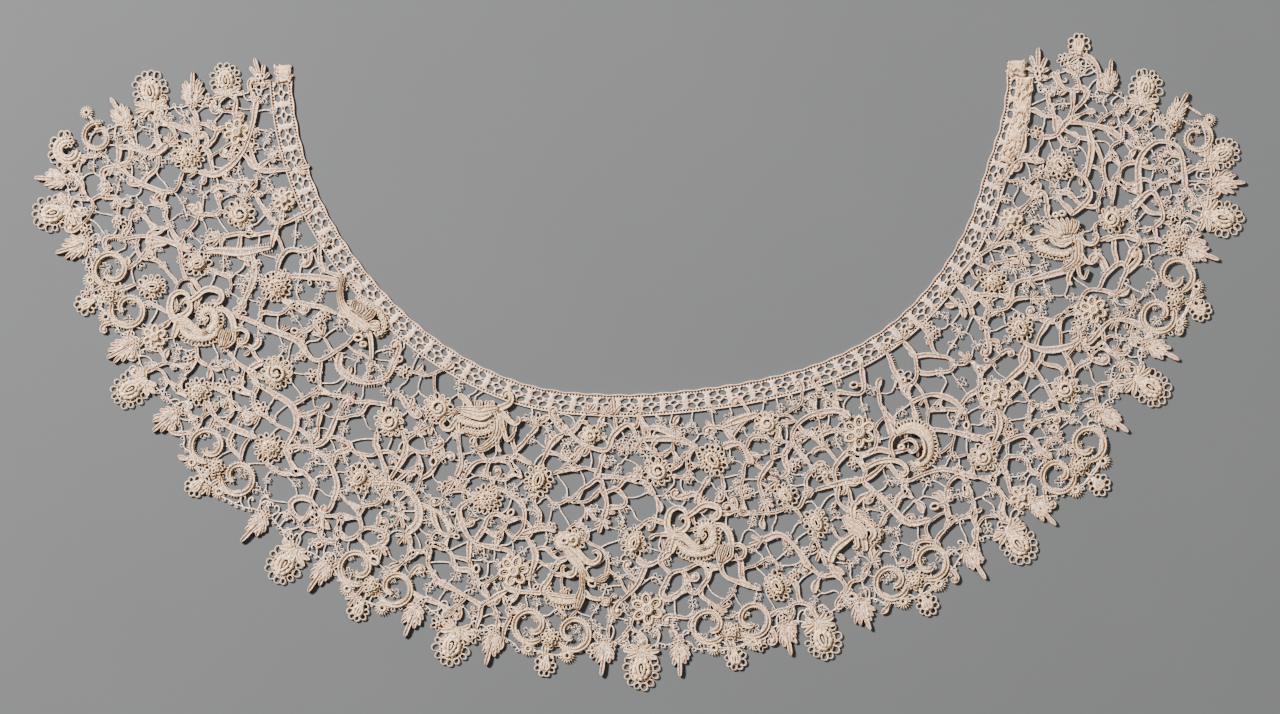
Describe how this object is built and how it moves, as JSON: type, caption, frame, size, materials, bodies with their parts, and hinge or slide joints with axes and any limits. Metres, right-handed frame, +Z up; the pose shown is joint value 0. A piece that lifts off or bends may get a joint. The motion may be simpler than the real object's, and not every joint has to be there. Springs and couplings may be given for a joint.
{
  "type": "needle lace collar",
  "caption": "Deep horseshoe collar of Venetian raised needle lace with a narrow bobbin lace neck band, laid out flat with its neck open.",
  "frame": {"origin": "middle of the collar's outline, on the surface it lies on", "axes": "+Z up out of the cloth, +X from the left end to the right end, +Y towards the open neck"},
  "size_m": [0.7068, 0.3816, 0.0045],
  "materials": {
    "needle_lace": "open network of cream linen thread, buttonhole stitched",
    "bobbin_lace": "fine whitish linen thread strip",
    "edging_lace": "cream looped needle lace",
    "raised_lace": "padded cream needle lace, soft thread sheen",
    "hem_linen": "turned and stitched lace end"
  },
  "bodies": {
    "root": {"edge_floret_01": "edging_lace", "edge_floret_02": "edging_lace", "edge_floret_03": "edging_lace", "edge_floret_04": "edging_lace", "edge_floret_05": "edging_lace", "edge_floret_06": "edging_lace", "edge_floret_07": "edging_lace", "edge_floret_08": "edging_lace", "edge_floret_09": "edging_lace", "edge_leaf_01": "edging_lace", "edge_leaf_02": "edging_lace", "edge_leaf_03": "edging_lace", "edge_leaf_04": "edging_lace", "edge_leaf_05": "edging_lace", "edge_leaf_06": "edging_lace", "edge_leaf_07": "edging_lace", "edge_leaf_08": "edging_lace", "edge_leaf_09": "edging_lace", "edge_leaf_10": "edging_lace", "edge_leaf_11": "edging_lace", "edge_leaf_12": "edging_lace", "edge_leaf_13": "edging_lace", "edge_leaf_14": "edging_lace", "edge_leaf_15": "edging_lace", "edge_leaf_16": "edging_lace", "edge_leaf_17": "edging_lace", "edge_leaf_18": "edging_lace", "edge_leaf_19": "edging_lace", "edge_leaf_20": "edging_lace", "edge_leaf_21": "edging_lace", "edge_leaf_22": "edging_lace", "edge_leaf_23": "edging_lace", "edge_leaf_24": "edging_lace", "edge_palmette_01": "edging_lace", "edge_palmette_02": "edging_lace", "edge_palmette_03": "edging_lace", "edge_palmette_04": "edging_lace", "edge_palmette_05": "edging_lace", "edge_palmette_06": "edging_lace", "edge_palmette_07": "edging_lace", "edge_palmette_08": "edging_lace", "edge_palmette_09": "edging_lace", "edge_palmette_10": "edging_lace", "edge_palmette_11": "edging_lace", "edge_palmette_12": "edging_lace", "edge_palmette_13": "edging_lace", "edge_palmette_14": "edging_lace", "lace_ground": "needle_lace", "neck_band": "bobbin_lace", "neck_hem_left": "hem_linen", "neck_hem_right": "hem_linen", "raised_fan_1": "raised_lace", "raised_fan_2": "raised_lace", "raised_fan_3": "raised_lace", "raised_fan_4": "raised_lace", "raised_fan_5": "raised_lace", "raised_scroll_1": "raised_lace", "raised_scroll_2": "raised_lace", "raised_scroll_3": "raised_lace"}
  },
  "joints": []
}
